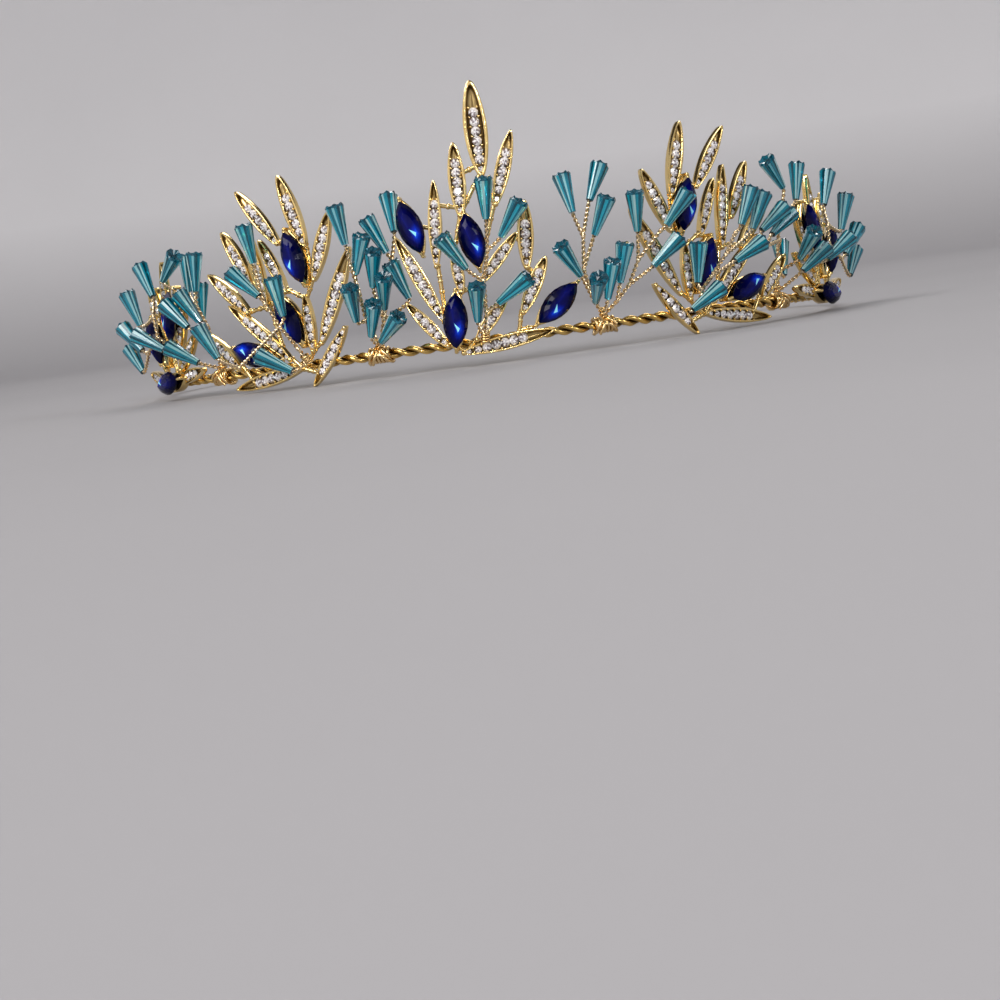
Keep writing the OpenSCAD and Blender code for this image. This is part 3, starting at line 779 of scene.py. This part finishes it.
# Columns of a stem point: s, z, lift, and the row of the point that it springs from
left_spray_stems = [
    (0, 2.0, 0, 0), (-2.0, 8.5, 1.6, 0), (-2.1, 14.5, 3.0, 1), (-2.6, 21.0, 4.6, 2), (2.0, 8.0, 0.6, 0),
    (4.0, 15.0, -0.2, 4), (5.4, 21.0, -0.8, 5),
]
right_spray_stems = [
    (0, 2.0, 0, 0), (-2.2, 6.0, 0.8, 0), (-3.6, 13.0, 1.0, 1), (-2.6, 20.5, 0.6, 2), (3.4, 4.9, 1.0, 0),
    (6.3, 8.2, 2.4, 4), (8.6, 13.5, 4.0, 5), (14.4, 19.6, 5.6, 6),
]
outer_left_stems = [
    (0, 2.0, 0, 0), (1.6, 7.0, 0.6, 0), (3.4, 12.6, 0.4, 1), (4.6, 18.0, 2.0, 2), (9.0, 23.0, 5.2, 3),
]
outer_right_stems = [
    (0, 2.0, 0, 0), (1.2, 7.2, 0.6, 0), (2.8, 13.0, 0.2, 1), (4.0, 19.6, 0.8, 2), (-1.4, 14.4, 3.6, 2),
    (-8.0, 13.4, 4.8, 4),
]
centre_sprig_stems = [(-4.4, 0.6, 4.9, 0), (-3.4, 6.6, 6.6, 0), (-3.0, 13.4, 6.8, 1), (-1.4, 20.0, 6.6, 2)]
left_sprig_stems = [
    (-9.0, 1.4, 4.9, 0), (-8.4, 4.0, 7.2, 0), (-4.8, 9.6, 7.5, 1), (-1.6, 15.4, 7.4, 2), (-0.2, 20.2, 7.0, 3),
    (8.8, 1.6, 7.1, 2),
]
right_sprig_stems = [
    (-9.0, 1.4, 4.9, 0), (-9.3, 4.6, 7.0, 0), (-6.4, 7.7, 7.4, 1), (-1.7, 12.2, 7.4, 2), (2.3, 17.0, 7.0, 3),
]
far_sprig_stems = [(-9.6, 8.2, 4.9, 0), (-6.4, 12.0, 7.4, 0), (-6.0, 17.0, 7.4, 1), (0.2, 8.4, 7.6, 1)]
# Columns of a bead: s, z and lift of its narrow end, s, z and lift of the place that its wide end points to,
# and the row of the stem point that it springs from
left_spray_beads = [
    (7.3, 27.5, 0.2, 6.3, 35.9, -2.4, 6), (4.9, 23.0, 0.4, 1.7, 30.6, 1.2, 6),
    (-3.1, 26.0, 4.8, -3.8, 33.8, 6.0, 3), (-2.6, 19.3, 2.4, 0.6, 26.7, 4.4, 2),
    (1.0, 15.8, 2.0, 3.3, 23.1, 5.8, 4), (8.8, 12.1, 0.8, 6.3, 19.7, 2.6, 4),
    (2.9, 10.5, 1.6, 5.8, 19.3, 8.2, 4), (-3.9, 8.5, 2.8, -2.9, 14.4, 6.4, 1),
    (-0.7, 4.6, 3.0, 2.4, 12.0, 7.4, 0), (1.4, 3.0, 2.6, 6.9, 7.7, 6.4, 0),
]
right_spray_beads = [
    (-4.4, 26.3, 0.6, -5.6, 35.6, -1.0, 3), (0.2, 28.6, 0.2, 4.8, 37.0, -1.4, 3),
    (-0.2, 20.6, 1.6, 2.8, 28.5, 4.6, 2), (-4.8, 11.8, 1.8, -9.4, 18.9, 5.0, 1),
    (0.4, 5.8, 3.4, 1.2, 13.5, 7.0, 0), (-2.8, 5.4, 4.4, -3.4, 9.4, 10.2, 1),
    (4.1, 9.0, 2.6, 5.6, 17.6, 4.8, 4), (9.2, 20.1, 4.4, 8.6, 29.7, 6.8, 6),
    (11.9, 11.8, 4.6, 17.8, 16.9, 6.4, 5), (15.6, 20.6, 6.2, 20.4, 27.4, 9.2, 7),
]
centre_sprig_beads = [
    (-0.8, 27.0, 7.2, -0.3, 35.6, 9.4, 3), (1.8, 22.6, 7.2, 6.0, 29.0, 9.8, 3),
    (-6.4, 16.6, 7.4, -10.2, 23.6, 9.6, 2), (-0.6, 8.0, 8.0, 5.6, 12.2, 10.4, 1),
    (-5.4, 4.6, 7.2, -4.6, 11.8, 11.4, 0),
]
outer_left_beads = [
    (12.4, 25.4, 5.8, 5.6, 30.8, 5.4, 4), (11.4, 22.0, -0.4, 11.0, 29.6, -0.8, 3),
    (3.4, 21.6, 2.4, 2.0, 29.0, 2.4, 3), (1.6, 13.0, 7.4, 7.6, 19.8, 9.4, 2),
    (0.2, 13.8, 4.6, 3.6, 20.2, 6.4, 2), (3.6, 4.2, 4.6, 9.4, 8.8, 8.4, 0),
    (8.2, 14.6, -1.2, 9.6, 22.0, -2.6, 2),
]
outer_right_beads = [
    (6.4, 27.4, 1.6, 0.8, 34.2, 1.2, 3), (11.0, 24.2, 2.4, 13.0, 31.6, 2.6, 3),
    (-9.4, 17.2, 4.6, -2.0, 22.4, 7.0, 5), (-4.8, 16.0, 4.0, 2.6, 20.8, 5.4, 5),
    (5.0, 9.6, 4.8, 3.4, 13.6, 9.0, 1), (4.8, 6.0, -0.2, 7.6, 13.4, -1.6, 1),
    (5.2, 6.4, 5.0, 11.0, 11.6, 9.4, 0),
]
left_sprig_beads = [
    (0.3, 25.1, 7.0, 0.9, 34.1, 8.0, 4), (-0.3, 17.4, 7.8, 3.6, 21.8, 8.8, 3),
    (-6.3, 12.0, 8.0, -6.1, 19.5, 9.4, 2), (-6.1, -0.9, 7.4, 0.1, 3.3, 9.4, 0),
    (15.7, 4.5, 7.0, 18.4, 11.0, 8.4, 5),
]
right_sprig_beads = [
    (-10.6, 6.7, 8.0, -9.9, 16.2, 9.2, 1), (-12.5, 0.6, 7.4, -5.1, 5.0, 9.2, 0),
    (0.9, 10.5, 7.4, 6.6, 13.3, 8.8, 2), (4.2, 18.8, 7.2, 7.2, 26.0, 8.4, 4),
    (7.6, 17.5, 7.2, 10.5, 24.4, 8.6, 3),
]
far_sprig_beads = [
    (-8.0, 22.0, 7.8, -4.0, 30.0, 8.2, 2), (1.4, 15.6, 8.2, 3.0, 22.6, 9.6, 2),
    (-10.4, 8.6, 8.2, -4.4, 13.4, 12.4, 0), (3.0, 9.4, 8.2, 7.0, 14.4, 10.2, 3),
    (6.8, 4.0, 7.6, 11.6, 9.0, 8.4, 3),
]
stem_gold = gold("champagne wire", (1.0, 0.86, 0.60, 1), (0.86, 0.60, 0.32, 1), 0.16, 0.00002)
wrap_gold = gold("tie wire", (1.0, 0.78, 0.42, 1), (0.76, 0.46, 0.15, 1), 0.12, 0.00002)


def path_length(points):
    return sum((b - a).length for a, b in zip(points, points[1:]))


def lay_along(verts, points):
    """Moves wire that was made along Z onto a path through points, without twisting it further."""
    lengths = [0.0]
    for a, b in zip(points, points[1:]):
        lengths.append(lengths[-1] + (b - a).length)
    axes = []
    normal = (points[1] - points[0]).orthogonal().normalized()
    for i in range(len(points)):
        ahead = points[min(i + 1, len(points) - 1)] - points[max(i - 1, 0)]
        ahead.normalize()
        normal = (normal - ahead * normal.dot(ahead)).normalized()
        axes.append((normal, ahead.cross(normal)))
    for vert in verts:
        z = vert.co.z
        i = 0
        while i < len(points) - 2 and z > lengths[i + 1]:
            i += 1
        share = (z - lengths[i]) / (lengths[i + 1] - lengths[i])
        centre = points[i].lerp(points[i + 1], share)
        near = max(0.0, min(1.0, share))
        u = axes[i][0].lerp(axes[i + 1][0], near)
        v = axes[i][1].lerp(axes[i + 1][1], near)
        vert.co = centre + u * vert.co.x + v * vert.co.y


def twisted_pair(bm, points, phase):
    """A stem: two wires twisted together along a path through points."""
    part = bmesh.new()
    turns = path_length(points) / stem_pitch
    for start_angle in (phase, phase + math.pi):
        strand(part, turns, steps=8, sides=6, wire_d=stem_wire_d, offset=stem_wire_d / 2 - stem_nip,
               pitch=stem_pitch, start_angle=start_angle, recess_shade=0.6)
    lay_along(part.verts, points)
    stamp(bm, as_mesh(part, "pair"), Matrix())


def coil(bm, points, radius, turns, wire_d):
    """A wire wound round a path through points."""
    part = bmesh.new()
    strand(part, turns, steps=12, sides=7, wire_d=wire_d, offset=radius, pitch=path_length(points) / turns,
           wound=True)
    lay_along(part.verts, points)
    stamp(bm, as_mesh(part, "coil"), Matrix())


def rounded_corner(start, corner, to):
    """A path from one point to another that turns before the corner between them."""
    steps = 5
    return [start.lerp(corner, t).lerp(corner.lerp(to, t), t) for t in (i / steps for i in range(steps + 1))]


def stems(bm, points, beads):
    """All stem wires of a spray or sprig. Each bead's wire ends in line with the bead, a gap short of it."""
    for i, row in enumerate(points):
        here = place(*row[:3])
        set_ball(bm, joint_ball, here, fork_d)
        if i:
            twisted_pair(bm, [place(*points[row[3]][:3]), here], i * fork_phase)
    for i, row in enumerate(beads):
        tip = place(*row[:3])
        back = (tip - place(*row[3:6])).normalized()
        neck = tip + back * neck_l
        root = place(*points[row[6]][:3])
        twisted_pair(bm, rounded_corner(root, neck, tip + back * gap), i * neck_phase)


def band_wrap(bm):
    """The wire that ties a spray's foot to the band: close turns, three slack loops and a tie up the stem."""
    along_band = [place(i / 6 * wrap_half_l, 0, 0) for i in range(-6, 7)]
    coil(bm, along_band, radius=round_band_r + wrap_wire_d / 2, turns=6, wire_d=wrap_wire_d)
    for foot_s, top_s, top_z in slack_loops:
        loop = [place(foot_s, slack_loop_foot_z, 0), place(top_s, top_z, 0)]
        coil(bm, loop, radius=round_band_r + wrap_wire_d * 1.35, turns=1.4, wire_d=wrap_wire_d)
    coil(bm, [place(0, 1.4, 0), place(0, 3.8, 0.1)], radius=0.85, turns=3.2, wire_d=tie_wire_d)


def knot_tie(bm, points):
    """The turns of wire that tie a sprig's foot to its casting."""
    foot, up = place(*points[0][:3]), place(*points[1][:3])
    lean = (up - foot).normalized()
    coil(bm, [foot - lean * 1.0, foot + lean * 1.4], radius=0.82, turns=4, wire_d=tie_wire_d)


def wires(name, turn, points, beads, node, wrapped):
    """The stems of a spray, which is wrapped round the band, or of a sprig, which isn't, and their tie."""
    bm = bmesh.new()
    stems(bm, points, beads)
    hand_in("wires_" + name, bm, turn, stem_gold, [node], wire_edge)
    bm = bmesh.new()
    if wrapped:
        band_wrap(bm)
    else:
        knot_tie(bm, points)
    hand_in("ties_" + name, bm, turn, wrap_gold, [node], wire_edge)


left_spray_turn, right_spray_turn = turned(-18), turned(14.5)
wires("spray_left", left_spray_turn, left_spray_stems, left_spray_beads, "spray_wires_left", True)
wires("spray_right", right_spray_turn, right_spray_stems, right_spray_beads, "spray_wires_right", True)
wires("sprig_centre", Matrix(), centre_sprig_stems, centre_sprig_beads, "sprig_wires_centre", False)
outer_az = 47.5
outer_sprays = {"left": (outer_left_stems, outer_left_beads), "right": (outer_right_stems, outer_right_beads)}
side_sprigs = {"left": (left_sprig_stems, left_sprig_beads), "right": (right_sprig_stems, right_sprig_beads)}
for side in sides:
    points, beads = outer_sprays[side]
    wires("outer_" + side, turned(outer_az, side), points, beads, "spray_outer_" + side, True)
    points, beads = side_sprigs[side]
    wires("sprig_" + side, turned(side_az, side), points, beads, "sprig_" + side, False)
    points, beads = far_sprig_stems, far_sprig_beads
    wires("sprig_far_" + side, turned(far_az, side), points, beads, "sprig_far_" + side, False)

# The beads are pressed from teal glass: long six-sided cones with polished edges and a zigzag of facets at
# the wide end, threaded on the stem wire with the narrow end down.
bead_l = 9.5
bead_d = 4.6
bead_tip_d = 1.8
bead_shoulder_z = bead_l * 0.92
bead_sides = 6
strips_a_side = 3
bead_edge_w = 0.2
side_flatness = 0.6
wide_end_taper = (0.84, 0.84, 1)
wide_end_turn = math.radians(20)
funnel_d = 0.6
funnel_taper = (0.36, 0.36, 1)
zigzag_h = 0.5
half_side = math.pi / bead_sides
# The painted highlight of each long edge and how much of a side it takes up, and the darkest painted tone of
# a strip between them
edge_highlights = (1.1, 0.4, 0.85, 0.3, 1.1, 0.55)
edge_share = 0.08
darkest_strip = 0.08
strip_contrast = 1.3
# The painted light and shade of the facets at the wide end, and how fast they change round the bead and along
# it
darkest_facet, lightest_facet = 0.02, 0.40
tone_turns = 7
tone_climb = 1.7
teal, teal_place = finish("teal glass", {
    "Roughness": 0.05, "IOR": 1.52, "Transmission Weight": 0.55, "Coat Weight": 0.25, "Coat Roughness": 0.02})
# Painted light and shade: each face's stored value picks a colour from dark teal to white-cyan, as painted
# highlights and reflections on the facets.
shade = teal_place.stored("painted_light") + teal_place.noise(160.0) * 0.2 - 0.1
shade.ramp([
    (0.0, (0.0005, 0.03, 0.05, 1)), (0.35, (0.0015, 0.17, 0.26, 1)), (0.7, (0.015, 0.50, 0.66, 1)),
    (1.0, (0.66, 1.0, 1.0, 1))]).feed("Base Color")


def from_mid_side(vert):
    """The angle round the bead's axis from the middle of the side that a corner lies on."""
    return (math.atan2(vert.co.y, vert.co.x) + half_side) % (2 * half_side) - half_side


def bead_mesh():
    """A six-sided cone whose sides swell a little, each pressed in three strips with painted light and shade
    of their own. Its wide end is a ring of slanting facets with raised corners round a funnel. The faces on
    its axis are painted darkest."""
    strips = bead_sides * strips_a_side
    bm = bmesh.new()
    bmesh.ops.create_cone(bm, cap_ends=True, segments=strips, radius1=bead_tip_d / 2, radius2=bead_d / 2,
                          depth=bead_shoulder_z)
    bmesh.ops.translate(bm, verts=bm.verts, vec=(0, 0, bead_shoulder_z / 2))
    corners = []
    for vert in bm.verts:
        turn = from_mid_side(vert)
        vert.co.xy = vert.co.xy * (1 - side_flatness * (1 - math.cos(half_side) / math.cos(turn)))
        if abs(turn) > half_side * 0.9:
            corners.append(vert)
    cut = [edge for edge in bm.edges if edge.verts[0] in corners and edge.verts[1] in corners]
    long_edges = [edge for edge in cut if abs(edge.verts[0].co.z - edge.verts[1].co.z) > 1]
    top = max(bm.faces, key=lambda face: face.calc_center_median().z)
    crown = raise_face(bm, top, bead_l - bead_shoulder_z, wide_end_taper)
    for vert in crown.verts:
        vert.co.z -= zigzag_h * (1 - abs(from_mid_side(vert)) / half_side)
    bmesh.ops.rotate(bm, verts=crown.verts, cent=(0, 0, 0), matrix=Matrix.Rotation(wide_end_turn, 3, "Z"))
    raise_face(bm, crown, -funnel_d, funnel_taper)
    quads = [face for face in bm.faces if len(face.verts) == 4]
    slopes = [face for face in quads if face.calc_center_median().z > bead_shoulder_z - 1]
    bmesh.ops.triangulate(bm, faces=slopes)
    soften(bm, long_edges, bead_edge_w, segments=1)
    painted_light = bm.faces.layers.float.new("painted_light")
    for face in bm.faces:
        spot = face.calc_center_median()
        around = (math.atan2(spot.y, spot.x) / math.pi + 1) / 2
        on_axis = spot.xy.length < 0.1
        if on_axis:
            face[painted_light] = darkest_facet
        elif spot.z > bead_shoulder_z - funnel_d:
            share = (around * tone_turns + spot.z * tone_climb) % 1.0
            face[painted_light] = darkest_facet + (lightest_facet - darkest_facet) * share
        elif abs(around * bead_sides % 1 - 0.5) < edge_share / 2:
            face[painted_light] = edge_highlights[math.floor(around * bead_sides)]
        else:
            strip = math.floor(around * strips + 0.5)
            face[painted_light] = darkest_strip + ((strip * golden_share) % 1.0) ** strip_contrast
    return as_mesh(bm, "bead")


bead_shape = bead_mesh()


def glass_beads(name, turn, beads, nodes):
    """Beads as one piece, or each as its own when it has a node of its own."""
    apart = len(nodes) > 1
    threads = [[row] for row in beads] if apart else [beads]
    for i, (thread, node) in enumerate(zip(threads, nodes), 1):
        bm = bmesh.new()
        for row in thread:
            stamp(bm, bead_shape, along(place(*row[:3]), place(*row[3:6])))
        piece = "glass_%s_%d" % (name, i) if apart else "glass_" + name
        hand_in(piece, bm, turn, teal, [node], sharp=0)


glass_beads("left", left_spray_turn, left_spray_beads, ["bead_left_%d" % i for i in range(1, 11)])
glass_beads("right", right_spray_turn, right_spray_beads, ["bead_right_%d" % i for i in range(1, 11)])
glass_beads("centre", Matrix(), centre_sprig_beads, ["bead_centre_%d" % i for i in range(1, 6)])
for side in sides:
    glass_beads("outer_" + side, turned(outer_az, side), outer_sprays[side][1], ["spray_outer_" + side])
    glass_beads("sprig_" + side, turned(side_az, side), side_sprigs[side][1], ["sprig_" + side])
    glass_beads("sprig_far_" + side, turned(far_az, side), far_sprig_beads, ["sprig_far_" + side])
